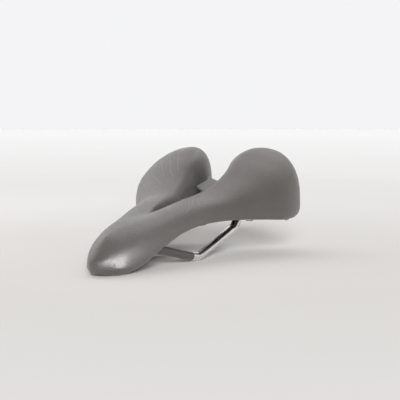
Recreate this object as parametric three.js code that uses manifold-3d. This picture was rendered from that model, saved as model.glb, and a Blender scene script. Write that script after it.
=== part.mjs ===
// Split-tail bicycle saddle, shown resting on its nose and on the front bends of its rail.
// Millimetres. +X is the rider's left, +Y points to the tail, +Z is up, and the floor is z = 0.
// The pad is one surface lofted on spokes: each spoke starts on the crest line of the pad, follows a
// superellipse down to the widest line of the skirt, then rolls under to the hem. The skin, the foam and
// the shell are three closed layers of that loft. The rail's straight clamp length rises 14.7 degrees
// towards the tail, so turning the saddle 14.7 degrees nose-up about X brings it to its riding position.

import * as THREE from "three";
import { mergeVertices } from "three/addons/utils/BufferGeometryUtils.js";
import Module from "manifold-3d";

// ---------- driving dimensions ----------
const RAIL_D = 7; // rail rod diameter
const RAIL_HALF_GAUGE = 22.3; // half the spacing of the two clamp lengths
const SKIN = 1.5; // cover thickness
const GAP = 0.3; // air between touching pieces
const SHELL = 3; // base shell thickness
const HEM = 4.2; // width of the hem turned under the rim
const RIM = 4.6; // width of the shell's flat rim
const MID = 126.7; // distance from the nose tip to the middle of the length

// Spokes round one half of the pad, from the middle of the nose, along the flank, round the wing, and back
// along the relief slot to its closed front end:
// [x, y, z of the widest line; y on the crest line; superellipse exponent; roll-under width; roll-under depth]
// y is measured back from the nose tip here and is shifted by MID in the part.
const SPOKES = [
  [0.0, 0.28, 10.68, 20.48, 2.2, 7.39, 8.88],
  [4.5, 1.96, 10.07, 20.48, 2.2, 7.39, 8.88],
  [8.64, 6.91, 9.23, 22.34, 2.2, 7.39, 8.88],
  [14.84, 15.1, 8.57, 27.0, 2.25, 6.89, 8.38],
  [18.84, 26.48, 9.04, 35.38, 2.3, 6.39, 7.88],
  [22.28, 41.62, 12.42, 47.48, 2.3, 5.79, 7.16],
  [24.13, 60.68, 19.53, 62.37, 2.3, 5.2, 6.44],
  [26.76, 83.93, 27.65, 81.92, 2.3, 4.6, 5.72],
  [30.56, 107.44, 32.75, 104.27, 2.4, 4.0, 5.0],
  [35.88, 131.15, 35.7, 129.4, 2.5, 4.0, 5.33],
  [46.97, 154.86, 36.8, 151.74, 2.7, 4.0, 5.67],
  [61.59, 177.12, 36.36, 172.22, 3.0, 4.0, 6.0],
  [72.69, 197.18, 36.26, 190.56, 3.2, 4.5, 7.0],
  [74.56, 218.24, 38.47, 207.6, 3.3, 5.0, 8.0],
  [67.08, 236.31, 42.01, 219.7, 3.3, 4.67, 7.33],
  [53.94, 248.02, 47.12, 227.15, 3.3, 4.33, 6.67],
  [39.3, 253.14, 52.34, 227.15, 3.3, 4.0, 6.0],
  [25.86, 249.0, 53.92, 220.63, 3.2, 3.5, 5.0],
  [15.35, 234.09, 51.93, 208.53, 3.0, 3.0, 4.0],
  [9.83, 215.47, 47.85, 192.7, 2.8, 3.0, 3.86],
  [13.59, 196.4, 43.61, 176.88, 2.6, 3.0, 3.71],
  [11.67, 173.39, 39.78, 156.4, 2.4, 3.0, 3.57],
  [6.9, 149.59, 37.49, 134.99, 2.3, 3.0, 3.43],
  [5.6, 126.31, 35.36, 113.57, 2.2, 3.0, 3.29],
  [3.84, 104.95, 34.31, 93.09, 2.2, 3.0, 3.14],
  [0.0, 95.8, 34.31, 74.48, 2.2, 3.0, 3.0]
];
// Crest line of one half: x as a function of y. It forks behind the nose into the two legs.
const CREST_Y = [0.0, 60.0, 80.0, 100.0, 120.0, 145.0, 165.0, 185.0, 205.0, 222.0, 237.0, 244.0, 260.0];
const CREST_X = [0.0, 0.0, 0.0, 4.91, 9.81, 15.92, 22.99, 30.05, 36.57, 41.02, 44.09, 45.05, 46.46];
// Height of the top along the length, its fall towards the sides, and the roll of the legs.
const TOP_Y = [-5.0, 5.0, 15.0, 30.0, 50.0, 75.0, 100.0, 125.0, 150.0, 175.0, 200.0, 225.0, 250.0, 275.0];
const TOP_Z = [10.42, 19.84, 26.62, 31.91, 36.74, 40.72, 44.7, 49.1, 54.39, 65.01, 79.89, 91.95, 91.14, 85.68];
const SIDE_FALL = -4.1;
const ROLL_Y = [20, 60.0, 90.0, 115.0, 140.0, 165.0, 190.0, 225];
const ROLL_Z = [0, 1.41, 3.04, 1.62, -0.57, -0.62, 0.7, 0];
// Middle line of one half of the shell, and foam thickness along the length.
const MIDDLE_Y = [0, 62, 74.5, 84, 95, 110, 130, 150, 170, 190, 210, 225, 240];
const MIDDLE_X = [0, 0, 0, 4, 10, 16.5, 21, 26, 33, 40, 44, 45, 45.5];
const FOAM_Y = [0, 50, 75, 95, 110, 130, 160, 200, 260];
const FOAM_T = [6, 6, 4.6, 5.6, 7.5, 9.5, 11, 13, 13];

const wasm = await Module();
wasm.setup();

// ---------- materials ----------
const mat = (color, roughness, metalness) =>
  new THREE.MeshStandardMaterial({ color, roughness, metalness });
const coverMat = () => mat(0x8a8685, 0.62, 0);
const foamMat = () => mat(0xd8d2c0, 0.95, 0);
const shellMat = () => mat(0x1b1a19, 0.6, 0);
const bridgeMat = () => mat(0x7d807c, 0.55, 0);
const chromeMat = () => mat(0xd5d3d0, 0.14, 1);
const socketMat = () => mat(0x161514, 0.5, 0);
const screwMat = () => mat(0x6c6c6e, 0.35, 1);
const stapleMat = () => mat(0x9a9a9c, 0.4, 1);

// ---------- curves ----------
// Catmull-Rom through uneven knots; values may be numbers or rows.
function spline(ts, vs, t) {
  const n = ts.length;
  t = Math.min(Math.max(t, ts[0]), ts[n - 1]);
  let i = 0;
  while (i < n - 2 && t >= ts[i + 1]) i++;
  const at = (k) => (Array.isArray(vs[k]) ? vs[k] : [vs[k]]);
  const slope = (k, c) => {
    const d = (j) => (at(j + 1)[c] - at(j)[c]) / (ts[j + 1] - ts[j]);
    if (k === 0) return d(0);
    if (k === n - 1) return d(n - 2);
    const w = (ts[k] - ts[k - 1]) / (ts[k + 1] - ts[k - 1]);
    return (1 - w) * d(k - 1) + w * d(k);
  };
  const h = ts[i + 1] - ts[i],
    u = (t - ts[i]) / h;
  const a = 2 * u ** 3 - 3 * u ** 2 + 1,
    b = u ** 3 - 2 * u ** 2 + u,
    c3 = -2 * u ** 3 + 3 * u ** 2,
    d3 = u ** 3 - u ** 2;
  const out = at(i).map(
    (v, c) =>
      a * v + b * h * slope(i, c) + c3 * at(i + 1)[c] + d3 * h * slope(i + 1, c),
  );
  return Array.isArray(vs[0]) ? out : out[0];
}
const linear = (xs, vs, x) => {
  if (x <= xs[0]) return vs[0];
  for (let i = 1; i < xs.length; i++)
    if (x <= xs[i])
      return (
        vs[i - 1] + ((vs[i] - vs[i - 1]) * (x - xs[i - 1])) / (xs[i] - xs[i - 1])
      );
  return vs[vs.length - 1];
};
const clamp = (v, a, b) => Math.min(Math.max(v, a), b);

const KNOTS = SPOKES.map((_, k) => k);
const LAST = SPOKES.length - 1;
const spokeAt = (k) => spline(KNOTS, SPOKES, k);
// the free top surface, before it falls away to the skirt
function topHeight(x, y) {
  const fall = SIDE_FALL * (x / 40) ** 2 * clamp((y - 120) / 100, 0, 1);
  const roll = spline(ROLL_Y, ROLL_Z, y) * ((1.7 * x * x) / (x * x + 196) - 0.5);
  return spline(TOP_Y, TOP_Z, y) + fall + roll;
}

// ---------- the rows of the loft ----------
// The crest runs from POLE_FRONT to POLE_REAR; spokes that would end beyond a pole end on it.
const POLE_FRONT = 21.5,
  POLE_REAR = 225,
  FORK = SPOKES[LAST][3];
function solveSpoke(y, k0, k1) {
  // spoke number between k0 and k1 whose crest end lies at y
  const up = spokeAt(k1)[3] > spokeAt(k0)[3];
  for (let i = 0; i < 50; i++) {
    const m = (k0 + k1) / 2;
    if (spokeAt(m)[3] < y === up) k0 = m;
    else k1 = m;
  }
  return (k0 + k1) / 2;
}
function rowList(stem, branch, fanFront, fanRear) {
  // [spoke number, crest y]
  const rows = [];
  const kf = solveSpoke(POLE_FRONT, 1, 14);
  for (let i = 0; i < fanFront; i++) rows.push([(kf * i) / fanFront, POLE_FRONT]);
  for (let i = 0; i < stem; i++) {
    const y = POLE_FRONT + ((FORK - POLE_FRONT) * i) / stem;
    rows.push([solveSpoke(y, 1, 14), y]);
  }
  const ys = [];
  for (let i = 0; i <= branch; i++)
    ys.push(FORK + ((POLE_REAR - FORK) * i) / branch);
  for (const y of ys) rows.push([solveSpoke(y, 1, 14.6), y]);
  const ka = rows[rows.length - 1][0],
    kb = solveSpoke(POLE_REAR, 16.2, LAST);
  for (let i = 1; i < fanRear; i++)
    rows.push([ka + ((kb - ka) * i) / fanRear, POLE_REAR]);
  for (const y of ys.slice().reverse())
    rows.push([y === FORK ? LAST : solveSpoke(y, 16.2, LAST), y]);
  return rows;
}
const ROWS = rowList(5, 13, 2, 6);

// Everything a row needs: boundary point, inward normal in plan, crest end, exponent and roll-under.
const rows = ROWS.map(([k, crestY]) => {
  const [bx, by, bz, , n, ru, rd] = spokeAt(k);
  const e = 0.02,
    a = spokeAt(Math.max(k - e, 0)),
    b = spokeAt(Math.min(k + e, LAST));
  let tx = b[0] - a[0],
    ty = b[1] - a[1];
  if (k <= 0) (tx = 1), (ty = 0);
  if (k >= LAST) (tx = -1), (ty = 0);
  const end = k <= 0 || k >= LAST;
  // inward normal in plan; round the nose tip it turns into the spoke's own direction
  const l = Math.hypot(tx, ty),
    s = Math.hypot(bx, crestY - by),
    w = clamp((k - 2) / 3, 0, 1);
  let nx = (-ty / l) * w + (-bx / s) * (1 - w),
    ny = (tx / l) * w + ((crestY - by) / s) * (1 - w);
  const m = Math.hypot(nx, ny);
  (nx /= m), (ny /= m);
  return {
    bx: end ? 0 : bx,
    by,
    bz,
    n,
    ru,
    rd,
    nx: end ? 0 : nx,
    ny,
    tx: tx / l,
    ty: ty / l,
    tz: (b[2] - b[6] - a[2] + a[6]) / Math.hypot(b[0] - a[0], b[1] - a[1]),
    crestY,
    crestX: crestY <= FORK ? 0 : Math.max(0, spline(CREST_Y, CREST_X, crestY)),
    midX: crestY <= FORK ? 0 : Math.max(0, spline(MIDDLE_Y, MIDDLE_X, crestY)),
    foam: linear(FOAM_Y, FOAM_T, crestY),
  };
});

// One point of a lofted layer. drop lowers the top, inset moves the skirt inwards, foot lifts its foot.
function loftPoint(r, u, { drop, inset, foot, middle }) {
  const sx = middle ? r.midX : r.crestX;
  const px = r.bx + r.nx * inset,
    py = r.by + r.ny * inset;
  const phi = (u * Math.PI) / 2;
  const f = Math.sin(phi) ** (2 / r.n),
    g = u >= 1 ? 0 : Math.cos(phi) ** (2 / r.n);
  const x = sx + (px - sx) * f,
    y = r.crestY + (py - r.crestY) * f;
  const z = (topHeight(x, y) - drop) * g + (r.bz + foot) * (1 - g);
  return [x, y, z];
}

// Profiles are lists of points from the crest of the outer face, round the rim, to the crest of the inner face.
const TOP_STEPS = [0, 0.2, 0.4, 0.6, 0.8, 1];
const INNER_STEPS = [1, 0.8, 0.6, 0.4, 0.2, 0];
function coverProfile(r) {
  const p = TOP_STEPS.map((u) =>
    loftPoint(r, u, { drop: 0, inset: 0, foot: 0 }),
  );
  const roll = (deg, t) => {
    const a = (deg * Math.PI) / 180;
    const w = r.ru - (r.ru - t) * Math.cos(a);
    return [r.bx + r.nx * w, r.by + r.ny * w, r.bz - (r.rd - t) * Math.sin(a)];
  };
  p.push(roll(45, 0), roll(90, 0));
  const w = r.ru + HEM;
  p.push([r.bx + r.nx * w, r.by + r.ny * w, r.bz - r.rd]);
  p.push([r.bx + r.nx * w, r.by + r.ny * w, r.bz - r.rd + SKIN]);
  p.push(roll(90, SKIN), roll(45, SKIN));
  for (const u of INNER_STEPS)
    p.push(loftPoint(r, u, { drop: SKIN, inset: SKIN, foot: 0 }));
  return p;
}
const SHELL_INSET = 0.5; // from the roll-under's end to the shell's wall
function shellFoot(r) {
  return -r.rd + SKIN + GAP;
}
function foamProfile(r) {
  const t = SKIN + GAP;
  const p = TOP_STEPS.map((u) => loftPoint(r, u, { drop: t, inset: t, foot: 0 }));
  const roll = (deg) => {
    const a = (deg * Math.PI) / 180;
    const w = r.ru - (r.ru - t) * Math.cos(a);
    return [r.bx + r.nx * w, r.by + r.ny * w, r.bz - (r.rd - t) * Math.sin(a)];
  };
  p.push(roll(45), roll(90));
  // narrow foot between the skin's roll and the shell's wall, then up over the shell
  for (const u of INNER_STEPS)
    p.push(
      loftPoint(r, u, {
        drop: t + r.foam,
        inset: r.ru + SHELL_INSET - GAP,
        foot: shellFoot(r),
        middle: true,
      }),
    );
  return p;
}
function shellTop(r, u) {
  return loftPoint(r, u, {
    drop: SKIN + 2 * GAP + r.foam,
    inset: r.ru + SHELL_INSET,
    foot: shellFoot(r),
    middle: true,
  });
}
function cavityPoint(r, u, down) {
  return loftPoint(r, u, {
    drop: SKIN + 2 * GAP + r.foam + SHELL + down,
    inset: r.ru + SHELL_INSET + RIM + down * 0.5,
    foot: shellFoot(r),
    middle: true,
  });
}
function shellProfile(r) {
  const p = TOP_STEPS.map((u) => shellTop(r, u));
  for (const u of INNER_STEPS) p.push(cavityPoint(r, u, 0));
  return p;
}
// the hollow under the shell as a solid, closed by a plane below, lowered by `down`
const CUT_Z = -30;
function cavityProfile(down) {
  return (r) => {
    const p = TOP_STEPS.map((u) => cavityPoint(r, u, down));
    const low = INNER_STEPS.map((u) => {
      const q = cavityPoint(r, u, down);
      return [q[0], q[1], CUT_Z];
    });
    return p.concat(low);
  };
}

// Closed mesh of both halves from a profile function. From the point numbered `turn` the profile runs back
// over the inner face, where each quad splits along the other diagonal, so nested layers facet alike.
function loftSolid(profile, turn) {
  const pos = [],
    tri = [],
    index = new Map();
  const vertex = (p) => {
    const q = [p[0], p[1] - MID, p[2]];
    const key = q.map((v) => Math.round(v * 5e3)).join(",");
    if (!index.has(key)) {
      index.set(key, pos.length / 3);
      pos.push(...q);
    }
    return index.get(key);
  };
  const face = (a, b, c) => {
    if (a !== b && b !== c && a !== c) tri.push(a, b, c);
  };
  for (const side of [1, -1]) {
    const grid = rows.map((r) =>
      profile(r).map((p) => vertex([p[0] * side, p[1], p[2]])),
    );
    for (let k = 0; k + 1 < grid.length; k++)
      for (let i = 0; i + 1 < grid[k].length; i++) {
        const [a, b, c, d] = [grid[k][i], grid[k][i + 1], grid[k + 1][i + 1], grid[k + 1][i]];
        const [f1, f2] =
          i < turn
            ? [[a, b, c], [a, c, d]]
            : [[a, b, d], [b, c, d]];
        for (const [p, q, s] of [f1, f2])
          if (side > 0) face(p, q, s);
          else face(p, s, q);
      }
  }
  return new wasm.Manifold(
    new wasm.Mesh({
      numProp: 3,
      vertProperties: new Float32Array(pos),
      triVerts: new Uint32Array(tri),
    }),
  );
}

// ---------- solids and geometries ----------
function toSolid(geometry, matrix) {
  const g = geometry.clone();
  g.deleteAttribute("normal");
  g.deleteAttribute("uv");
  if (matrix) g.applyMatrix4(matrix);
  const m = mergeVertices(g, 1e-4);
  return new wasm.Manifold(
    new wasm.Mesh({
      numProp: 3,
      vertProperties: new Float32Array(m.attributes.position.array),
      triVerts: new Uint32Array(m.index.array),
    }),
  );
}
function toGeometry(solid) {
  const m = solid.getMesh();
  const g = new THREE.BufferGeometry();
  const n = m.numProp,
    p = new Float32Array((m.vertProperties.length / n) * 3);
  for (let i = 0; i * n < m.vertProperties.length; i++)
    for (let c = 0; c < 3; c++) p[3 * i + c] = m.vertProperties[n * i + c];
  g.setAttribute("position", new THREE.BufferAttribute(p, 3));
  g.setIndex(new THREE.BufferAttribute(new Uint32Array(m.triVerts), 1));
  return g;
}
const place = (x, y, z) => new THREE.Matrix4().makeTranslation(x, y - MID, z);
const upright = new THREE.Matrix4().makeRotationX(Math.PI / 2); // a cylinder's axis along Z

// ---------- the rail ----------
// Half of the hairpin, from the middle of the front loop to the rear end: [x, y, z].
const RAIL_HALF = [
  [0, 39.8, 15.4],
  [4.4, 41.4, 15.3],
  [6.7, 46, 15.2],
  [7.9, 54, 15.2],
  [9.9, 62, 14.9],
  [12.6, 69.5, 14.1],
  [16.0, 78, 12.6],
  [19.2, 94, 9.0],
  [21.4, 112, 5.3],
  [21.9, 119, 4.1],
  [RAIL_HALF_GAUGE, 126, 3.385],
  [RAIL_HALF_GAUGE, 133, 4.4],
];
const CLAMP_SLOPE = Math.tan((14.7 * Math.PI) / 180);
const CLAMP_START = [RAIL_HALF_GAUGE, 138, 4.4 + 5 * CLAMP_SLOPE];
const CLAMP_END = [RAIL_HALF_GAUGE, 190, CLAMP_START[2] + 52 * CLAMP_SLOPE];
const RAIL_REAR = [
  [22.8, 195.4, 21.2],
  [23.6, 199.6, 25.6],
  [25.0, 206.6, 35],
  [26.6, 214.6, 45.6],
];
const SECTION_SIDES = 12;
// rod outline with a flat above and a flat below
function rodShape(radius) {
  const s = new THREE.Shape();
  for (let i = 0; i < SECTION_SIDES; i++) {
    const a = ((i + 0.5) / SECTION_SIDES) * 2 * Math.PI;
    const q = [radius * Math.cos(a), radius * Math.sin(a)];
    if (i) s.lineTo(...q);
    else s.moveTo(...q);
  }
  s.closePath();
  return s;
}
// A curve through given points that stays exactly straight along the clamp lengths.
class RailPath extends THREE.Curve {
  constructor(points) {
    super();
    this.points = points;
  }
  getPoint(t, target = new THREE.Vector3()) {
    const s = t * (this.points.length - 1);
    const i = Math.min(Math.floor(s), this.points.length - 2),
      u = s - i;
    return target.copy(this.points[i]).lerp(this.points[i + 1], u);
  }
  getPointAt(t, target) {
    return this.getPoint(t, target);
  }
  getTangentAt(t, target) {
    return this.getTangent(t, target);
  }
  getTangent(t, target = new THREE.Vector3()) {
    const n = this.points.length - 1,
      i = Math.round(t * n);
    const a = this.points[Math.max(i - 1, 0)],
      b = this.points[Math.min(i + 1, n)];
    const d1 = this.points[i].clone().sub(a).normalize(),
      d2 = b.clone().sub(this.points[i]).normalize();
    return target.copy(d1.add(d2).normalize());
  }
}
function railPoints(extra) {
  const half = [...RAIL_HALF, CLAMP_START];
  const end = RAIL_REAR[RAIL_REAR.length - 1],
    before = RAIL_REAR[RAIL_REAR.length - 2];
  const tip = end.map((v, c) => v + ((v - before[c]) * extra) / 13.4);
  const rear = [CLAMP_END, ...RAIL_REAR.slice(0, -1), tip];
  const fine = (list, count) => {
    const c = new THREE.CatmullRomCurve3(
      list.map((p) => new THREE.Vector3(...p)),
      false,
      "centripetal",
    );
    return c.getSpacedPoints(count);
  };
  // lead-in points keep the curve tangent to the clamp length
  const dir = [0, 1, CLAMP_SLOPE];
  const lead = (p, s) => [p[0], p[1] + s * dir[1], p[2] + s * dir[2]];
  const front = fine([...half, lead(CLAMP_START, 4)], 26);
  const back = fine([lead(CLAMP_END, -4), ...rear], 9);
  const side = [...front, ...back];
  return side.map((v) => [v.x, v.y - MID, v.z]);
}
function rod(radius, extra) {
  const side = railPoints(extra);
  const loop = [
    ...side
      .slice(1)
      .reverse()
      .map(([x, y, z]) => new THREE.Vector3(-x, y, z)),
    ...side.map((p) => new THREE.Vector3(...p)),
  ];
  // Parallel frames keep the section's flats level, because the section's side axis stays level too.
  const path = new RailPath(loop);
  path.computeFrenetFrames = (steps) => {
    const tangents = [],
      normals = [],
      binormals = [];
    for (let i = 0; i <= steps; i++) {
      const t = path.getTangent(i / steps);
      const level = new THREE.Vector3(t.y, -t.x, 0).normalize();
      tangents.push(t);
      normals.push(level);
      binormals.push(new THREE.Vector3().crossVectors(t, level));
    }
    return { tangents, normals, binormals };
  };
  return new THREE.ExtrudeGeometry(rodShape(radius), {
    steps: loop.length - 1,
    bevelEnabled: false,
    extrudePath: path,
  });
}
const railSolid = toSolid(rod(RAIL_D / 2, 0));
const railSleeve = toSolid(rod(RAIL_D / 2 + GAP + 0.15, 0.6));

// ---------- blocks under the shell ----------
const cavity = (down) => loftSolid(cavityProfile(down), 6);
const hollow = cavity(GAP); // all the room under the shell
const column = (x, y) =>
  toSolid(new THREE.BoxGeometry(0.3, 0.3, 200), place(x, y, 75));
// height of the shell's underside at a point
const undersideAt = (x, y) =>
  hollow.intersect(column(x, y)).boundingBox().max[2] + GAP;
const cylinder = (r, z0, z1, x, y, sides = 16) =>
  toSolid(
    new THREE.CylinderGeometry(r, r, z1 - z0, sides).applyMatrix4(upright),
    place(x, y, (z0 + z1) / 2),
  );
// upright prism from a rounded outline [cx, cy, half width, half length]
function pad([cx, cy, hx, hy], z0, z1) {
  const s = new THREE.Shape();
  const n = 20;
  for (let i = 0; i < n; i++) {
    const a = (i / n) * 2 * Math.PI,
      c = Math.cos(a),
      d = Math.sin(a);
    const x = hx * Math.sign(c) * Math.abs(c) ** 0.55,
      y = hy * Math.sign(d) * Math.abs(d) ** 0.55;
    if (i) s.lineTo(cx + x, cy + y - MID);
    else s.moveTo(cx + x, cy + y - MID);
  }
  s.closePath();
  return toSolid(
    new THREE.ExtrudeGeometry(s, { depth: z1 - z0, bevelEnabled: false }),
    new THREE.Matrix4().makeTranslation(0, 0, z0),
  );
}

// Screws: [name, x, y, height of the head's seat, height of the tip]
const SCREW_R = 1.9,
  HEAD_R = 3.2,
  HEAD_H = 2.4;
function screwSolid([, x, y, seat, tip]) {
  const top = seat - GAP;
  let s = cylinder(HEAD_R, top - HEAD_H, top, x, y, 16).add(
    cylinder(SCREW_R, top - 0.5, tip, x, y, 12),
  );
  return s.subtract(cylinder(1.6, top - HEAD_H - 1, top - 0.9, x, y, 6));
}
const screwHole = ([, x, y, seat, tip]) =>
  cylinder(SCREW_R + GAP + 0.1, seat - 1, tip + GAP, x, y, 12);
const headRoom = ([, x, y, seat]) =>
  cylinder(HEAD_R + 0.5, -25, seat, x, y, 16);

// rear sockets
const SOCKET_AT = [23.6, 199.6, 25.6];
const SOCKET_DIR = new THREE.Vector3(3, 15, 20).normalize();
function socketBox(x0, x1, v0, v1, s0, s1) {
  const w = SOCKET_DIR,
    u = new THREE.Vector3(1, 0, 0).addScaledVector(w, -w.x).normalize(),
    v = new THREE.Vector3().crossVectors(w, u);
  const m = new THREE.Matrix4().makeBasis(u, v, w);
  m.setPosition(SOCKET_AT[0], SOCKET_AT[1] - MID, SOCKET_AT[2]);
  return toSolid(
    new THREE.BoxGeometry(x1 - x0, v1 - v0, s1 - s0).translate(
      (x0 + x1) / 2,
      (v0 + v1) / 2,
      (s0 + s1) / 2,
    ),
    m,
  );
}
function mirrored(solid) {
  const m = solid.getMesh();
  const n = m.numProp,
    pos = [],
    tri = [];
  for (let i = 0; i * n < m.vertProperties.length; i++)
    pos.push(-m.vertProperties[n * i], m.vertProperties[n * i + 1], m.vertProperties[n * i + 2]);
  for (let i = 0; i < m.triVerts.length; i += 3)
    tri.push(m.triVerts[i], m.triVerts[i + 2], m.triVerts[i + 1]);
  return new wasm.Manifold(
    new wasm.Mesh({
      numProp: 3,
      vertProperties: new Float32Array(pos),
      triVerts: new Uint32Array(tri),
    }),
  );
}
const SOCKET_PAD = [34, 214, 13, 15];
const socketScrews = [
  ["front", 39.5, 206],
  ["rear", 39.5, 223],
].map(([n, x, y]) => {
  const u = undersideAt(x, y);
  return [n, x, y, u - 3.4, u + 2];
});
let socket = socketBox(-6.2, 1.2, -6, 6, -1.2, 24)
  .add(socketBox(-6.2, 6.2, -6.2, 6.2, 11, 70))
  .intersect(hollow)
  .add(pad(SOCKET_PAD, 48, 90).intersect(hollow).subtract(cavity(5.2)));
socket = socket.subtract(railSleeve);
for (const s of socketScrews)
  socket = socket.subtract(screwHole(s)).subtract(headRoom(s));

// nose socket and clamp
const NOSE_SPLIT = 15.5;
const noseScrews = [
  ["front", 0, 30.5],
  ["rear", 0, 56],
].map(([n, x, y]) => [n, x, y, 12.2, undersideAt(x, y) + 2]);
let noseSocket = pad([0, 43.5, 11, 17.5], NOSE_SPLIT + GAP / 2, 60)
  .intersect(hollow)
  .subtract(railSleeve);
let noseClamp = pad([0, 43.5, 10.6, 17.2], 9.6, NOSE_SPLIT - GAP / 2)
  .intersect(hollow)
  .subtract(railSleeve);
for (const s of noseScrews) {
  noseSocket = noseSocket.subtract(screwHole(s));
  noseClamp = noseClamp.subtract(screwHole(s)).subtract(headRoom(s));
}

// ---------- the bridge between the legs ----------
const BRIDGE_PANEL_Y = [197.5, 217.5];
const BRIDGE_MID = 198;
const BRIDGE_SLOPE = 0.22; // of the tabs, which follow the hem
const BRIDGE_TAB = 39.5; // height of the tabs' upper face at BRIDGE_MID
const BRIDGE_TAB_Y = [184, 199]; // the tabs stop short of the rail sockets
const BRIDGE_PANEL_X = 14.8; // half width of the panel
const BRIDGE_PANEL_T = 2.2;
const bridgeScrews = [["", 18.3, 191, BRIDGE_TAB - 3.3, BRIDGE_TAB + 4.5]];
// height of the hammock-shaped panel: it sags in the middle and climbs towards the tail
const panelTop = (x, y) =>
  50.5 + 0.5 * (y - 199.2) + 6.3 * (Math.abs(x) / 13.6) ** 1.6;
function panelSolid() {
  const xs = [],
    ys = [];
  for (let i = 0; i <= 16; i++) xs.push(BRIDGE_PANEL_X * (i / 8 - 1));
  for (let j = 0; j <= 4; j++)
    ys.push(BRIDGE_PANEL_Y[0] + ((BRIDGE_PANEL_Y[1] - BRIDGE_PANEL_Y[0]) * j) / 4);
  const pos = [],
    tri = [],
    nx = xs.length,
    ny = ys.length,
    under = nx * ny;
  for (const drop of [0, BRIDGE_PANEL_T])
    for (const y of ys) for (const x of xs) pos.push(x, y - MID, panelTop(x, y) - drop);
  const quad = (p, q, r, t) => tri.push(p, q, r, p, r, t);
  for (let j = 0; j + 1 < ny; j++)
    for (let i = 0; i + 1 < nx; i++) {
      const p = j * nx + i;
      quad(p, p + 1, p + nx + 1, p + nx);
      quad(under + p, under + p + nx, under + p + nx + 1, under + p + 1);
    }
  for (let i = 0; i + 1 < nx; i++) {
    const q = (ny - 1) * nx + i;
    quad(under + i, under + i + 1, i + 1, i);
    quad(q, q + 1, under + q + 1, under + q);
  }
  for (let j = 0; j + 1 < ny; j++) {
    const p = j * nx,
      q = p + nx - 1;
    quad(p, p + nx, under + p + nx, under + p);
    quad(under + q, under + q + nx, q + nx, q);
  }
  return new wasm.Manifold(
    new wasm.Mesh({
      numProp: 3,
      vertProperties: new Float32Array(pos),
      triVerts: new Uint32Array(tri),
    }),
  );
}
// plate with an outline in the (y, z) plane between two values of x
function sidePlate(outline, x0, x1) {
  const s = new THREE.Shape(outline.map(([y, z]) => new THREE.Vector2(y - MID, z)));
  const g = new THREE.ExtrudeGeometry(s, { depth: x1 - x0, bevelEnabled: false });
  // (outline y, outline z, depth) become (y, z, x)
  const m = new THREE.Matrix4().set(0, 0, 1, x0, 1, 0, 0, 0, 0, 1, 0, 0, 0, 0, 0, 1);
  return toSolid(g, m);
}
function bridgeSolid() {
  const tab = (y, drop) => BRIDGE_TAB + BRIDGE_SLOPE * (y - BRIDGE_MID) - drop;
  const [y0, y1] = BRIDGE_TAB_Y;
  const tabOutline = [[y0, tab(y0, 2.4)], [y1, tab(y1, 2.4)], [y1, tab(y1, 0)], [y0, tab(y0, 0)]];
  const webTop = (y) => panelTop(6.8, y) - 1.1;
  const webOutline = [
    [189, tab(189, 2.4)], [y1, tab(y1, 2.4)], [y1, tab(y1, 0)], [209, webTop(209) - 4], [209, webTop(209)],
    [BRIDGE_PANEL_Y[0] + 0.4, webTop(BRIDGE_PANEL_Y[0] + 0.4)],
  ];
  let solid = panelSolid();
  for (const [x0, x1] of [[5.4, 8.2], [-8.2, -5.4]]) solid = solid.add(sidePlate(webOutline, x0, x1));
  for (const [x0, x1] of [[5.4, 22.4], [-22.4, -5.4]]) solid = solid.add(sidePlate(tabOutline, x0, x1));
  return solid;
}
// room taken by one leg and its wing: its outer face grown by the gap, down to the hem
const legRoom = loftSolid((r) => {
  const p = TOP_STEPS.map((u) =>
    loftPoint(r, u, { drop: -GAP, inset: -GAP, foot: 0 }),
  );
  p.push([
    r.bx + r.nx * r.ru * 0.3,
    r.by + r.ny * r.ru * 0.3,
    r.bz - r.rd * 0.75 - GAP,
  ]);
  p.push([r.bx + r.nx * r.ru, r.by + r.ny * r.ru, r.bz - r.rd - GAP]);
  for (const u of INNER_STEPS)
    p.push(
      loftPoint(r, u, {
        drop: SKIN + 2 * GAP + r.foam + 1,
        inset: r.ru + 5,
        foot: -r.rd - GAP,
        middle: true,
      }),
    );
  return p;
}, 8);

// ---------- staples ----------
// Positions by spoke number; each crown lies under the hem and its legs pin the hem to the shell's rim.
const STAPLES = [4.8, 6.8, 8.7, 10.5, 12.4, 14.2, 18.2, 21.2, 22.7];
const STAPLE = { width: 7, wire: 0.8, height: 3.6 };
function staplePlace(k, sideSign) {
  const [bx, by, bz, , , ru, rd] = spokeAt(k);
  const a = spokeAt(k - 0.02),
    b = spokeAt(k + 0.02);
  const t = new THREE.Vector3(b[0] - a[0], b[1] - a[1], b[2] - b[6] - a[2] + a[6]);
  const n = new THREE.Vector3(-t.y, t.x, 0).normalize();
  t.normalize();
  const w = ru + 2.1;
  const p = new THREE.Vector3(bx + n.x * w, by + n.y * w - MID, bz - rd);
  if (sideSign < 0) (t.x *= -1), (n.x *= -1), (p.x *= -1);
  const up = new THREE.Vector3().crossVectors(t, n);
  if (up.z < 0) up.negate();
  const across = new THREE.Vector3().crossVectors(up, t);
  const m = new THREE.Matrix4().makeBasis(t, across, up);
  m.setPosition(p);
  return m;
}
const box = (x, y, z, cx, cy, cz) =>
  new THREE.BoxGeometry(x, y, z).translate(cx, cy, cz);
function stapleShape() {
  const { width: w, wire: d, height: h } = STAPLE;
  const s = new THREE.Shape();
  [
    [-w / 2, 0], [w / 2, 0], [w / 2, h], [w / 2 - d, h],
    [w / 2 - d, d], [-w / 2 + d, d], [-w / 2 + d, h], [-w / 2, h],
  ].forEach(([x, z], i) => (i ? s.lineTo(x, z) : s.moveTo(x, z)));
  s.closePath();
  const g = new THREE.ExtrudeGeometry(s, { depth: d, bevelEnabled: false });
  return g.applyMatrix4(
    new THREE.Matrix4().set(1, 0, 0, 0, 0, 0, -1, d / 2, 0, 1, 0, -d - 0.5, 0, 0, 0, 1),
  );
}
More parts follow.
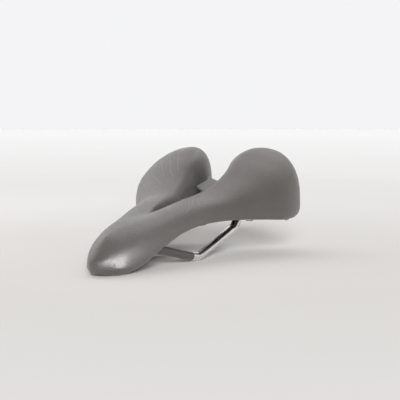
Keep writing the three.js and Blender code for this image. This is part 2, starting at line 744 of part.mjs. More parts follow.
function staplePocket(m) {
  const { width: w, wire: d, height: h } = STAPLE;
  const g = 2 * GAP,
    z0 = -1,
    z1 = h - d - 0.5 + GAP;
  return [1, -1].map((s) =>
    toSolid(box(d + g, d + g, z1 - z0, s * (w / 2 - d / 2), 0, (z0 + z1) / 2), m),
  );
}

// ---------- assembly ----------
let cover = loftSolid(coverProfile, 9);
let foam = loftSolid(foamProfile, 7);
let shell = loftSolid(shellProfile, 6);
let bridge = bridgeSolid().subtract(legRoom);

const group = new THREE.Group();
group.name = "bicycle_saddle";
function addPart(name, geometry, material) {
  const mesh = new THREE.Mesh(geometry, material);
  mesh.name = name;
  group.add(mesh);
}
const sides = [
  ["left", 1],
  ["right", -1],
];
const flip = (spec, sign) => [spec[0], spec[1] * sign, ...spec.slice(2)];
const screws = [];
for (const [label, sign] of sides)
  for (const s of socketScrews) {
    const t = flip(s, sign);
    screws.push([`rail_socket_screw_${label}_${s[0]}`, t]);
    shell = shell.subtract(screwHole(t));
  }
for (const s of noseScrews) {
  screws.push([`nose_clamp_screw_${s[0]}`, s]);
  shell = shell.subtract(screwHole(s));
}
for (const [label, sign] of sides)
  for (const s of bridgeScrews) {
    const t = flip(s, sign);
    screws.push([`bridge_screw_${label}`, t]);
    shell = shell.subtract(screwHole(t));
    cover = cover.subtract(screwHole(t));
    foam = foam.subtract(screwHole(t));
    bridge = bridge.subtract(screwHole(t)).subtract(headRoom(t));
  }
const staples = [];
for (const [label, sign] of sides)
  STAPLES.forEach((k, i) => {
    const m = staplePlace(k, sign);
    for (const hole of staplePocket(m)) {
      cover = cover.subtract(hole);
      shell = shell.subtract(hole);
      foam = foam.subtract(hole);
    }
    staples.push([`hem_staple_${label}_${String(i + 1).padStart(2, "0")}`, m]);
  });

addPart("cover", toGeometry(cover), coverMat());
addPart("foam_pad", toGeometry(foam), foamMat());
addPart("base_shell", toGeometry(shell), shellMat());
addPart("rear_bridge", toGeometry(bridge), bridgeMat());
addPart("rail", rod(RAIL_D / 2, 0), chromeMat());
addPart("rail_socket_left", toGeometry(socket), socketMat());
addPart("rail_socket_right", toGeometry(mirrored(socket)), socketMat());
addPart("nose_socket", toGeometry(noseSocket), socketMat());
addPart("nose_clamp", toGeometry(noseClamp), socketMat());
for (const [name, spec] of screws)
  addPart(name, toGeometry(screwSolid(spec)), screwMat());
for (const [name, m] of staples) {
  const mesh = new THREE.Mesh(stapleShape(), stapleMat());
  mesh.name = name;
  m.decompose(mesh.position, mesh.quaternion, mesh.scale);
  group.add(mesh);
}

export default group;
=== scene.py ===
import math

import bmesh
import bpy
import numpy as np
from mathutils import Matrix, Vector, noise


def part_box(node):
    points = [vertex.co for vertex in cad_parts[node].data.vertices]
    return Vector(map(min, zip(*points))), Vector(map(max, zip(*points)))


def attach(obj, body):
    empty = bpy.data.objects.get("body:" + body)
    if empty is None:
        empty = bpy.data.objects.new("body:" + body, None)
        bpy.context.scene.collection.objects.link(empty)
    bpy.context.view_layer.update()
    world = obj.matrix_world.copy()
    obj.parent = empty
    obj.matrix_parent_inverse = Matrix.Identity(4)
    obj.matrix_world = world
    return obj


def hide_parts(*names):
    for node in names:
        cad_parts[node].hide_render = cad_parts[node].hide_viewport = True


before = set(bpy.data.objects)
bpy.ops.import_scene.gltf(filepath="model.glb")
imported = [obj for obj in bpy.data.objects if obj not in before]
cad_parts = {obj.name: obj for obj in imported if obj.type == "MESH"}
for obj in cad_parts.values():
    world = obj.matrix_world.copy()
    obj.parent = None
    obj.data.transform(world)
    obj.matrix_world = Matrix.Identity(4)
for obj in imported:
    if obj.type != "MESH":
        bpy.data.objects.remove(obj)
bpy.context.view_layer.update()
MM = 0.001

# ---------------------------------------------------------------- dimensions, millimetres
SKIN, GAP, SHELL, HEM, RIM, MID, SHELL_INSET = 1.5, 0.3, 3.0, 4.2, 4.6, 126.7, 0.5
SPOKES = np.array([
    [0.0, 0.28, 10.68, 20.48, 2.2, 7.39, 8.88],
    [4.5, 1.96, 10.07, 20.48, 2.2, 7.39, 8.88],
    [8.64, 6.91, 9.23, 22.34, 2.2, 7.39, 8.88],
    [14.84, 15.1, 8.57, 27.0, 2.25, 6.89, 8.38],
    [18.84, 26.48, 9.04, 35.38, 2.3, 6.39, 7.88],
    [22.28, 41.62, 12.42, 47.48, 2.3, 5.79, 7.16],
    [24.13, 60.68, 19.53, 62.37, 2.3, 5.2, 6.44],
    [26.76, 83.93, 27.65, 81.92, 2.3, 4.6, 5.72],
    [30.56, 107.44, 32.75, 104.27, 2.4, 4.0, 5.0],
    [35.88, 131.15, 35.7, 129.4, 2.5, 4.0, 5.33],
    [46.97, 154.86, 36.8, 151.74, 2.7, 4.0, 5.67],
    [61.59, 177.12, 36.36, 172.22, 3.0, 4.0, 6.0],
    [72.69, 197.18, 36.26, 190.56, 3.2, 4.5, 7.0],
    [74.56, 218.24, 38.47, 207.6, 3.3, 5.0, 8.0],
    [67.08, 236.31, 42.01, 219.7, 3.3, 4.67, 7.33],
    [53.94, 248.02, 47.12, 227.15, 3.3, 4.33, 6.67],
    [39.3, 253.14, 52.34, 227.15, 3.3, 4.0, 6.0],
    [25.86, 249.0, 53.92, 220.63, 3.2, 3.5, 5.0],
    [15.35, 234.09, 51.93, 208.53, 3.0, 3.0, 4.0],
    [9.83, 215.47, 47.85, 192.7, 2.8, 3.0, 3.86],
    [13.59, 196.4, 43.61, 176.88, 2.6, 3.0, 3.71],
    [11.67, 173.39, 39.78, 156.4, 2.4, 3.0, 3.57],
    [6.9, 149.59, 37.49, 134.99, 2.3, 3.0, 3.43],
    [5.6, 126.31, 35.36, 113.57, 2.2, 3.0, 3.29],
    [3.84, 104.95, 34.31, 93.09, 2.2, 3.0, 3.14],
    [0.0, 95.8, 34.31, 74.48, 2.2, 3.0, 3.0],
])
CREST_Y = [0, 60, 80, 100, 120, 145, 165, 185, 205, 222, 237, 244, 260]
CREST_X = [0, 0, 0, 4.91, 9.81, 15.92, 22.99, 30.05, 36.57, 41.02, 44.09, 45.05, 46.46]
TOP_Y = [-5, 5, 15, 30, 50, 75, 100, 125, 150, 175, 200, 225, 250, 275]
TOP_Z = [10.42, 19.84, 26.62, 31.91, 36.74, 40.72, 44.7, 49.1, 54.39, 65.01, 79.89, 91.95, 91.14, 85.68]
SIDE_FALL = -4.1
ROLL_Y = [20, 60, 90, 115, 140, 165, 190, 225]
ROLL_Z = [0, 1.41, 3.04, 1.62, -0.57, -0.62, 0.7, 0]
MIDDLE_Y = [0, 62, 74.5, 84, 95, 110, 130, 150, 170, 190, 210, 225, 240]
MIDDLE_X = [0, 0, 0, 4, 10, 16.5, 21, 26, 33, 40, 44, 45, 45.5]
FOAM_Y = [0, 50, 75, 95, 110, 130, 160, 200, 260]
FOAM_T = [6, 6, 4.6, 5.6, 7.5, 9.5, 11, 13, 13]
POLE_FRONT, POLE_REAR = 21.5, 225.0
LAST = len(SPOKES) - 1
FORK = SPOKES[LAST][3]


# ---------------------------------------------------------------- curves
def spline(ts, vs, t):
    """Catmull-Rom through uneven knots, for numbers or rows."""
    ts = np.asarray(ts, float)
    vs = np.asarray(vs, float)
    t = np.clip(np.asarray(t, float), ts[0], ts[-1])
    i = np.clip(np.searchsorted(ts, t, side="right") - 1, 0, len(ts) - 2)
    wide = (...,) + (None,) * (vs.ndim - 1)
    h = np.diff(ts)
    d = np.diff(vs, axis=0) / h[wide]
    m = np.zeros_like(vs)
    w = (h[:-1] / (h[:-1] + h[1:]))[wide]
    m[1:-1] = (1 - w) * d[:-1] + w * d[1:]
    m[0], m[-1] = d[0], d[-1]
    hh, u = h[i], (t - ts[i]) / h[i]
    if vs.ndim > 1:
        hh, u = hh[..., None], u[..., None]
    a, b = 2 * u**3 - 3 * u**2 + 1, u**3 - 2 * u**2 + u
    return a * vs[i] + b * hh * m[i] + (1 - a) * vs[i + 1] + (u**3 - u**2) * hh * m[i + 1]


KNOTS = np.arange(LAST + 1)


def spoke_at(k):
    return spline(KNOTS, SPOKES, k)


def top_height(x, y):
    fall = SIDE_FALL * (x / 40) ** 2 * np.clip((y - 120) / 100, 0, 1)
    roll = spline(ROLL_Y, ROLL_Z, y) * ((1.7 * x * x) / (x * x + 196) - 0.5)
    return spline(TOP_Y, TOP_Z, y) + fall + roll


def solve_spoke(y, k0, k1):
    """Spoke number between k0 and k1 whose crest end lies at y."""
    y = np.atleast_1d(np.asarray(y, float))
    lo, hi = np.full(len(y), float(k0)), np.full(len(y), float(k1))
    rising = spoke_at(k1)[3] > spoke_at(k0)[3]
    for _ in range(46):
        m = (lo + hi) / 2
        go = (spoke_at(m)[:, 3] < y) == rising
        lo, hi = np.where(go, m, lo), np.where(go, hi, m)
    return (lo + hi) / 2


class Rows:
    """Rows of the loft: round the nose, along the flank, round the wing and back along the slot."""

    def __init__(s, stem, branch, fan_front, fan_rear):
        kf = solve_spoke(POLE_FRONT, 1, 14)[0]
        k = list(kf * np.arange(fan_front) / fan_front)
        cy = [POLE_FRONT] * fan_front
        y = POLE_FRONT + (FORK - POLE_FRONT) * np.arange(stem) / stem
        k += list(solve_spoke(y, 1, 14))
        cy += list(y)
        ys = FORK + (POLE_REAR - FORK) * np.arange(branch + 1) / branch
        k += list(solve_spoke(ys, 1, 14.6))
        cy += list(ys)
        ka, kb = k[-1], solve_spoke(POLE_REAR, 16.2, LAST)[0]
        k += [ka + (kb - ka) * i / fan_rear for i in range(1, fan_rear)]
        cy += [POLE_REAR] * (fan_rear - 1)
        back = solve_spoke(ys[::-1], 16.2, LAST)
        back[-1] = LAST
        k += list(back)
        cy += list(ys[::-1])
        s.k, s.cy = np.array(k), np.array(cy)
        s.b = spoke_at(s.k)
        s.bx, s.by, s.bz, _, s.n, s.ru, s.rd = s.b.T
        e = 0.02
        p, q = spoke_at(np.maximum(s.k - e, 0)), spoke_at(np.minimum(s.k + e, LAST))
        tx, ty = q[:, 0] - p[:, 0], q[:, 1] - p[:, 1]
        first, last = s.k <= 0, s.k >= LAST
        tx = np.where(first, 1, np.where(last, -1, tx))
        ty = np.where(first | last, 0, ty)
        ln, sp = np.hypot(tx, ty), np.hypot(s.bx, s.cy - s.by)
        w = np.clip((s.k - 2) / 3, 0, 1)
        nx = (-ty / ln) * w + (-s.bx / sp) * (1 - w)
        ny = (tx / ln) * w + ((s.cy - s.by) / sp) * (1 - w)
        m = np.hypot(nx, ny)
        end = first | last
        s.nx, s.ny = np.where(end, 0, nx / m), ny / m
        s.bx = np.where(end, 0, s.bx)
        s.sx = np.where(s.cy <= FORK, 0, np.maximum(0, spline(CREST_Y, CREST_X, s.cy)))
        s.mx = np.where(s.cy <= FORK, 0, np.maximum(0, spline(MIDDLE_Y, MIDDLE_X, s.cy)))
        s.foam = np.interp(s.cy, FOAM_Y, FOAM_T)

    def top(s, theta, drop=0.0, inset=0.0, foot=0.0, middle=False):
        """Points at one angle of the superellipse from the crest (0) to the widest line (90 degrees)."""
        if theta >= 90:
            f, g = np.ones(len(s.k)), np.zeros(len(s.k))
        else:
            phi = np.arctan(np.tan(math.radians(theta)) ** (s.n / 2))
            f, g = np.sin(phi) ** (2 / s.n), np.cos(phi) ** (2 / s.n)
        x0 = s.mx if middle else s.sx
        px, py = s.bx + s.nx * inset, s.by + s.ny * inset
        x, y = x0 + (px - x0) * f, s.cy + (py - s.cy) * f
        z = (top_height(x, y) - drop) * g + (s.bz + foot) * (1 - g)
        return np.stack([x, y, z], 1)

    def roll(s, deg, t):
        a = math.radians(deg)
        w = s.ru - (s.ru - t) * math.cos(a)
        return np.stack([s.bx + s.nx * w, s.by + s.ny * w, s.bz - (s.rd - t) * math.sin(a)], 1)

    def at(s, inset, z):
        return np.stack([s.bx + s.nx * inset, s.by + s.ny * inset, z], 1)


def weld(halves):
    """One closed mesh from the two mirrored grids of points (rows, columns, 3)."""
    pts, quads = [], []
    base = 0
    for grid, side in halves:
        r, c, _ = grid.shape
        g = grid.copy()
        g[..., 0] *= side
        pts.append(g.reshape(-1, 3))
        idx = base + np.arange(r * c).reshape(r, c)
        q = np.stack([idx[:-1, :-1], idx[:-1, 1:], idx[1:, 1:], idx[1:, :-1]], -1).reshape(-1, 4)
        quads.append(q if side > 0 else q[:, ::-1])
        base += r * c
    pts, quads = np.concatenate(pts), np.concatenate(quads)
    _, first, inverse = np.unique(np.round(pts * 500).astype(np.int64), axis=0, return_index=True, return_inverse=True)
    inverse = inverse.reshape(-1)
    faces = []
    for q in inverse[quads]:
        f = [q[i] for i in range(4) if q[i] != q[i - 1]]
        if len(set(f)) >= 3 and len(set(f)) == len(f):
            faces.append([int(v) for v in f])
    return pts[first], faces


def add_mesh(name, pts, faces, material, sharp=None, smooth=True):
    """A new mesh object from points in millimetres, y measured back from the nose tip."""
    me = bpy.data.meshes.new(name)
    p = np.asarray(pts, float).copy()
    p[:, 1] -= MID
    me.from_pydata((p * MM).tolist(), [], faces)
    me.polygons.foreach_set("use_smooth", [smooth] * len(me.polygons))
    if sharp is not None:
        me.set_sharp_from_angle(angle=math.radians(sharp))
    me.materials.append(material)
    me.update()
    ob = bpy.data.objects.new(name, me)
    bpy.context.scene.collection.objects.link(ob)
    return ob


def piece(ob, slot, *nodes):
    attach(ob, "root")
    if nodes:
        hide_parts(*nodes)
    return ob


# ---------------------------------------------------------------- materials
class Nodes:
    """Small helper that adds shader nodes and links them."""

    def __init__(s, name):
        s.mat = bpy.data.materials.new(name)
        s.mat.use_nodes = True
        s.tree = s.mat.node_tree
        s.tree.nodes.clear()
        s.out = s.tree.nodes.new("ShaderNodeOutputMaterial")
        s.bsdf = s.tree.nodes.new("ShaderNodeBsdfPrincipled")
        s.tree.links.new(s.bsdf.outputs[0], s.out.inputs["Surface"])
        s.coord = s.tree.nodes.new("ShaderNodeTexCoord")

    def add(s, kind, **values):
        n = s.tree.nodes.new(kind)
        for k, v in values.items():
            if hasattr(n, k):
                setattr(n, k, v)
            else:
                n.inputs[k.replace("_", " ")].default_value = v
        return n

    def link(s, a, b):
        s.tree.links.new(a, b)

    def stretched(s, scale):
        m = s.add("ShaderNodeMapping")
        m.inputs["Scale"].default_value = scale
        s.link(s.coord.outputs["Object"], m.inputs["Vector"])
        return m.outputs["Vector"]

    def noise(s, scale, detail=2.0, rough=0.5, vector=None, distortion=0.0):
        n = s.add("ShaderNodeTexNoise", Scale=scale, Detail=detail, Roughness=rough, Distortion=distortion)
        s.link(vector or s.coord.outputs["Object"], n.inputs["Vector"])
        return n.outputs["Fac"]

    def cells(s, scale, feature="F1", smooth=None, randomness=1.0):
        n = s.tree.nodes.new("ShaderNodeTexVoronoi")
        n.feature = feature
        n.inputs["Scale"].default_value = scale
        n.inputs["Randomness"].default_value = randomness
        if smooth is not None:
            n.inputs["Smoothness"].default_value = smooth
        s.link(s.coord.outputs["Object"], n.inputs["Vector"])
        return n.outputs["Distance"]

    def span(s, value, a, b, lo, hi):
        n = s.tree.nodes.new("ShaderNodeMapRange")
        for i, v in enumerate((a, b, lo, hi)):
            n.inputs[i + 1].default_value = v
        s.link(value, n.inputs[0])
        return n.outputs[0]

    def math(s, op, a, b=None):
        n = s.tree.nodes.new("ShaderNodeMath")
        n.operation = op
        for i, v in enumerate((a, b)):
            if v is None:
                continue
            if isinstance(v, (int, float)):
                n.inputs[i].default_value = v
            else:
                s.link(v, n.inputs[i])
        return n.outputs[0]

    def ramp(s, value, *stops):
        n = s.tree.nodes.new("ShaderNodeValToRGB")
        e = n.color_ramp.elements
        e[0].position, e[0].color = stops[0][0], (*stops[0][1], 1)
        e[1].position, e[1].color = stops[-1][0], (*stops[-1][1], 1)
        for pos, col in stops[1:-1]:
            e.new(pos).color = (*col, 1)
        s.link(value, n.inputs[0])
        return n.outputs[0]

    def mix(s, fac, a, b, blend="MIX"):
        n = s.tree.nodes.new("ShaderNodeMix")
        n.data_type = "RGBA"
        n.blend_type = blend
        for sock, v in ((n.inputs[0], fac), (n.inputs[6], a), (n.inputs[7], b)):
            if isinstance(v, (int, float)):
                sock.default_value = v
            elif isinstance(v, tuple):
                sock.default_value = (*v, 1)
            else:
                s.link(v, sock)
        return n.outputs[2]

    def bump(s, height, strength, distance, under=None):
        n = s.tree.nodes.new("ShaderNodeBump")
        n.inputs["Strength"].default_value = strength
        n.inputs["Distance"].default_value = distance
        s.link(height, n.inputs["Height"])
        if under is not None:
            s.link(under, n.inputs["Normal"])
        return n.outputs["Normal"]

    def finish(s, color=None, rough=None, metal=None, normal=None, **constants):
        for name, v in (("Base Color", color), ("Roughness", rough), ("Metallic", metal), ("Normal", normal)):
            if v is None:
                continue
            if isinstance(v, (int, float)):
                s.bsdf.inputs[name].default_value = v
            elif isinstance(v, tuple):
                s.bsdf.inputs[name].default_value = (*v, 1)
            else:
                s.link(v, s.bsdf.inputs[name])
        for k, v in constants.items():
            s.bsdf.inputs[k.replace("_", " ")].default_value = v
        return s.mat


def skin_material(name, tint=1.0):
    """Grained polyurethane skin: pebbled cells about 0.8 mm across under a thin satin topcoat, with a finer pore
    texture, and painted shade darkening the hollows between the pebbles.
    """
    n = Nodes(name)
    broad = n.noise(22, 3, 0.55)
    mid = n.noise(160, 3, 0.6)
    pebble = n.cells(1050, "SMOOTH_F1", 0.3)
    fine = n.noise(3400, 2, 0.6)
    base = n.ramp(broad, (0.3, (0.196 * tint, 0.184 * tint, 0.180 * tint)), (0.7, (0.216 * tint, 0.205 * tint, 0.203 * tint)))
    worn = n.mix(n.span(mid, 0.35, 0.7, 0.0, 0.35), base, (0.224 * tint, 0.212 * tint, 0.208 * tint))
    # painted shade: the colour darkens in the hollows between the pebbles, where the bump sinks
    pit_shade = n.span(pebble, 0.25, 0.62, 0.0, 0.24)
    color = n.mix(pit_shade, worn, (0.135 * tint, 0.126 * tint, 0.122 * tint))
    rough = n.math("ADD", n.span(mid, 0.3, 0.7, 0.30, 0.38), n.span(pebble, 0.1, 0.6, -0.03, 0.08))
    first = n.bump(n.math("MULTIPLY", pebble, -1.0), 0.6, 0.00026)
    second = n.bump(fine, 0.35, 0.00005, first)
    third = n.bump(n.noise(45, 2, 0.5), 0.12, 0.0004, second)
    return n.finish(color, rough, 0.0, third, Specular_IOR_Level=0.5)


def moulded_material(name, dark, light, rough, grain=2600, depth=0.00005, level=0.5):
    """Moulded plastic with a fine spark-eroded texture, slight flow marks and rubbed patches."""
    n = Nodes(name)
    flow = n.noise(45, 3, 0.55, n.stretched((1, 0.35, 1)))
    speck = n.noise(grain, 2, 0.6)
    color = n.mix(n.span(speck, 0.35, 0.7, 0.0, 0.3), n.ramp(flow, (0.3, dark), (0.72, light)), light)
    r = n.math("ADD", n.span(flow, 0.3, 0.7, rough - 0.06, rough + 0.06), n.span(speck, 0.3, 0.7, -0.04, 0.05))
    return n.finish(color, r, 0.0, n.bump(speck, 0.5, depth, n.bump(n.noise(500, 2), 0.25, 0.0001)), Specular_IOR_Level=level)


def chrome_material():
    """Bright chrome with faint drawing lines, hair scratches and a haze of handling marks."""
    n = Nodes("rail_chrome")
    lines = n.noise(1900, 2, 0.6, n.stretched((1, 0.05, 1)))
    haze = n.noise(75, 3, 0.55)
    scratch = n.noise(2600, 1, 0.5, n.stretched((1, 0.02, 1)), 0.6)
    hair = n.span(scratch, 0.62, 0.72, 0.0, 1.0)
    color = n.mix(n.span(haze, 0.35, 0.7, 0.0, 0.5), (0.88, 0.865, 0.845), (0.80, 0.785, 0.765))
    rough = n.math("ADD", n.span(haze, 0.3, 0.7, 0.20, 0.28), n.math("MULTIPLY", hair, 0.12))
    bump = n.bump(lines, 0.18, 0.00003, n.bump(haze, 0.15, 0.0002))
    return n.finish(color, rough, 1.0, bump)


def band_material():
    """Dull grey, finely brushed band on the rail."""
    n = Nodes("rail_band")
    lines = n.noise(2400, 2, 0.65, n.stretched((1, 0.04, 1)))
    haze = n.noise(90, 3, 0.55)
    color = n.mix(n.span(lines, 0.3, 0.7, 0.0, 0.6), (0.155, 0.148, 0.142), (0.215, 0.207, 0.200))
    rough = n.math("ADD", n.span(haze, 0.3, 0.7, 0.34, 0.44), n.span(lines, 0.3, 0.7, -0.04, 0.06))
    return n.finish(color, rough, 0.55, n.bump(lines, 0.4, 0.00005))


def steel_material(name, a, b, rough):
    n = Nodes(name)
    turned = n.noise(2200, 2, 0.6, n.stretched((1, 1, 0.12)))
    stain = n.noise(420, 3, 0.6)
    color = n.mix(n.span(stain, 0.35, 0.7, 0.0, 0.7), a, b)
    r = n.math("ADD", n.span(stain, 0.3, 0.7, rough - 0.06, rough + 0.08), n.span(turned, 0.3, 0.7, -0.03, 0.05))
    return n.finish(color, r, 1.0, n.bump(turned, 0.3, 0.00003))


SKIN_MAT = skin_material("cover_skin")
# painted highlight: the crease beads use the skin colour made 1.42 times lighter, standing in for light catching the
# ridges
CREASE_HIGHLIGHT_MAT = skin_material("cover_crease_highlight", 1.42)
SHELL_MAT = moulded_material("shell_nylon", (0.030, 0.029, 0.028), (0.046, 0.0445, 0.043), 0.5)
BRIDGE_MAT = moulded_material("bridge_plastic", (0.30, 0.315, 0.308), (0.37, 0.383, 0.375), 0.48)
SOCKET_MAT = moulded_material("socket_plastic", (0.008, 0.0078, 0.0075), (0.017, 0.0165, 0.016), 0.42, 2200)
CHROME_MAT = chrome_material()
BAND_MAT = band_material()
SCREW_MAT = steel_material("screw_steel", (0.34, 0.34, 0.35), (0.24, 0.235, 0.23), 0.3)
STAPLE_MAT = steel_material("staple_steel", (0.52, 0.52, 0.53), (0.38, 0.375, 0.36), 0.32)

# ---------------------------------------------------------------- cover: one moulded skin, closed and thin
fine_rows = Rows(50, 165, 20, 56)
TOP_ANGLES = list(np.linspace(0, 90, 37))
ROLL_ANGLES = list(np.linspace(0, 90, 10))[1:]


def cover_grid(r):
    cols = [r.top(t) for t in TOP_ANGLES]
    cols += [r.roll(a, 0.0) for a in ROLL_ANGLES]
    edge = r.ru + HEM
    low = r.bz - r.rd
    cols += [r.at(r.ru + 1.6, low), r.at(r.ru + 3.0, low), r.at(edge - 0.3, low), r.at(edge, low + 0.3)]
    cols += [r.at(edge, low + SKIN - 0.2), r.at(edge - 0.2, low + SKIN)]
    cols += [r.roll(a, SKIN) for a in (90, 60, 30)]
    cols += [r.top(t, drop=SKIN, inset=SKIN) for t in np.linspace(90, 0, 13)]
    return np.stack(cols, 1)


grid = cover_grid(fine_rows)
pts, faces = weld([(grid, 1), (grid, -1)])


def eased(pts, faces, until, rounds):
    """Rounds off the moulding lines of the nose: every point ahead of `until` moves towards the mean of its neighbours."""
    pts = pts.copy()
    links = np.array([(f[i], f[i - 1]) for f in faces for i in range(len(f))])
    links = np.unique(np.sort(links, 1), axis=0)
    count = np.bincount(links.ravel(), minlength=len(pts))[:, None]
    weight = 0.5 * (np.clip((until - pts[:, 1]) / 14, 0, 1) * np.clip((pts[:, 2] - 6) / 6, 0, 1))[:, None]
    for step in range(rounds):
        mean = np.zeros_like(pts)
        np.add.at(mean, links[:, 0], pts[links[:, 1]])
        np.add.at(mean, links[:, 1], pts[links[:, 0]])
        pts += weight * (mean / count - pts)
    return pts


pts = eased(pts, faces, 42, 60)
cover = add_mesh("cover_skin", pts, faces, SKIN_MAT, sharp=65)
piece(cover, "cover_skin", "cover", "foam_pad")


def on_cover(x, y, lift=0.0):
    """Nearest point of the cover's outer face under a point above it, and its normal, in millimetres."""
    hit, loc, nor, _ = cover.ray_cast(Vector((x * MM, (y - MID) * MM, 0.2)), Vector((0, 0, -1)))
    return (loc / MM + Vector((0, MID, 0)) + nor * lift, nor) if hit else (None, None)


def tube(path, radius, sides, level=None, caps=True):
    """Points and faces of a round tube along a path of points (n, 3); radius may vary."""
    path = np.asarray(path, float)
    n = len(path)
    rad = np.broadcast_to(np.asarray(radius, float), (n,))
    d = np.diff(path, axis=0)
    d /= np.linalg.norm(d, axis=1)[:, None]
    t = np.concatenate([d[:1], d[:-1] + d[1:], d[-1:]])
    t /= np.linalg.norm(t, axis=1)[:, None]
    if level is None:
        side = np.zeros_like(t)
        ref = np.array([0, 0, 1.0]) if abs(t[0][2]) < 0.9 else np.array([1.0, 0, 0])
        side[0] = np.cross(t[0], ref)
        side[0] /= np.linalg.norm(side[0])
        for i in range(1, n):
            v = side[i - 1] - t[i] * (side[i - 1] @ t[i])
            side[i] = v / np.linalg.norm(v)
    else:
        side = np.stack([t[:, 1], -t[:, 0], np.zeros(n)], 1)
        side /= np.linalg.norm(side, axis=1)[:, None]
    up = np.cross(t, side)
    a = np.arange(sides) / sides * 2 * np.pi
    ring = path[:, None] + rad[:, None, None] * (np.cos(a)[None, :, None] * side[:, None] + np.sin(a)[None, :, None] * up[:, None])
    pts = ring.reshape(-1, 3)
    faces = []
    for i in range(n - 1):
        for j in range(sides):
            k = (j + 1) % sides
            faces.append([i * sides + j, i * sides + k, (i + 1) * sides + k, (i + 1) * sides + j])
    if caps:
        faces.append(list(range(sides))[::-1])
        faces.append([(n - 1) * sides + j for j in range(sides)])
    return pts, faces


def through(points, per=10):
    """Centripetal Catmull-Rom curve through points."""
    p = np.asarray(points, float)
    p = np.concatenate([[2 * p[0] - p[1]], p, [2 * p[-1] - p[-2]]])
    out = []
    for i in range(1, len(p) - 2):
        p0, p1, p2, p3 = p[i - 1 : i + 3]
        d0, d1, d2 = (np.linalg.norm(b - a) ** 0.5 for a, b in ((p0, p1), (p1, p2), (p2, p3)))
        t1 = ((p1 - p0) / d0 - (p2 - p0) / (d0 + d1) + (p2 - p1) / d1) * d1
        t2 = ((p2 - p1) / d1 - (p3 - p1) / (d1 + d2) + (p3 - p2) / d2) * d1
        for j in range(per):
            u = j / per
            out.append(
                (2 * u**3 - 3 * u**2 + 1) * p1 + (u**3 - 2 * u**2 + u) * t1 + (-2 * u**3 + 3 * u**2) * p2 + (u**3 - u**2) * t2
            )
    out.append(p[-2])
    return np.array(out)


# ---------------------------------------------------------------- fine raised lines moulded into the wings
# Plan positions [x, y back from the nose tip] for one half; the other half is the mirror image.
CREASES = [
    [[-52.8, 188.8], [-50.8, 185.4], [-44.7, 178.8], [-36.7, 171.2], [-29.5, 165.8]],
    [[-54.5, 208.5], [-52.5, 205.5], [-41.6, 187.8], [-35.4, 178.3]],
    [[-48.6, 215.5], [-47.2, 212.8], [-36.9, 193.4], [-30.7, 182.4], [-25.3, 176.8]],
    [[-38.5, 212.5], [-36.0, 207.5], [-29.5, 193.6], [-21.4, 180.0]],
    [[13.2, 141.0], [14.3, 136.0], [23.9, 112.2], [25.8, 100.2]],
    [[15.0, 128.0], [16.7, 122.6], [23.4, 107.7], [25.4, 99.1]],
]
pts, faces = [], []
for line in CREASES:
    plan = through([[x, y, 0] for x, y in line], 10)
    spots = [on_cover(x, y, -0.36) for x, y, _ in plan]
    run = np.array([list(q) for q, _ in spots if q is not None])
    taper = 0.37 + 0.13 * np.sin(np.linspace(0, math.pi, len(run))) ** 0.5
    p, f = tube(run, taper, 10)
    base = sum(len(q) for q in pts)
    pts.append(p)
    faces += [[v + base for v in face] for face in f]
# the lines are drawn in the lighter crease material, a painted highlight on the ridges
piece(add_mesh("cover_crease_lines", np.concatenate(pts), faces, CREASE_HIGHLIGHT_MAT), "cover_skin")

# ---------------------------------------------------------------- base shell
shell_rows = Rows(26, 72, 10, 26)


def shell_grid(r):
    foot = -r.rd + SKIN + GAP
    drop = SKIN + 2 * GAP + r.foam
    inset = r.ru + SHELL_INSET
    cols = [r.top(t, drop, inset, foot, True) for t in np.linspace(0, 90, 13)]
    rim_out = r.at(inset + 0.4, r.bz + foot)
    cols += [rim_out, r.at(inset + RIM - 0.4, r.bz + foot)]
    angles = np.linspace(90, 0, 31)
    for t in angles:
        # ribs run across from rim to rim and one along each side
        across = np.exp(-(((r.cy - 8) % 18 - 9) / 1.1) ** 2)
        along = math.exp(-(((t - 34) / 2.6) ** 2))
        fade = min(1.0, max(0.0, (88 - t) / 14)) * min(1.0, t / 10)
        rib = 1.6 * np.maximum(across * fade, along * np.clip((r.cy - 30) / 20, 0, 1))
        cols.append(r.top(t, drop + SHELL + rib, inset + RIM, foot, True))
    return np.stack(cols, 1)


grid = shell_grid(shell_rows)
pts, faces = weld([(grid, 1), (grid, -1)])
shell = add_mesh("shell_body", pts, faces, SHELL_MAT, sharp=50)
piece(shell, "shell_nylon", "base_shell")

# ---------------------------------------------------------------- rail
RAIL_R = 3.44
HALF_GAUGE = 22.3
RAIL_HALF = [
    [0, 39.8, 15.4], [4.4, 41.4, 15.3], [6.7, 46, 15.2], [7.9, 54, 15.2], [9.9, 62, 14.9], [12.6, 69.5, 14.1],
    [16, 78, 12.6], [19.2, 94, 9], [21.4, 112, 5.3], [21.9, 119, 4.1], [HALF_GAUGE, 126, 3.385], [HALF_GAUGE, 133, 4.4],
]
SLOPE = math.tan(math.radians(14.7))
CLAMP_START = [HALF_GAUGE, 138, 4.4 + 5 * SLOPE]
CLAMP_END = [HALF_GAUGE, 190, 4.4 + 57 * SLOPE]
RAIL_REAR = [[22.8, 195.4, 21.2], [23.6, 199.6, 25.6], [25, 206.6, 35], [26.6, 214.6, 45.6]]
BAND_END = 115.3  # where the dull band stops, before the front bend
SLEEVE_START = 191.5  # where the black half sleeve of the rear socket begins, on the inner side of the bar


def lead(p, s):
    return [p[0], p[1] + s, p[2] + s * SLOPE]


front = through(RAIL_HALF + [CLAMP_START, lead(CLAMP_START, 4)], 12)
back = through([lead(CLAMP_END, -4), CLAMP_END] + RAIL_REAR, 12)
straight = np.linspace(front[-1], back[0], 14)[1:-1]
side_path = np.concatenate([front, straight, back])
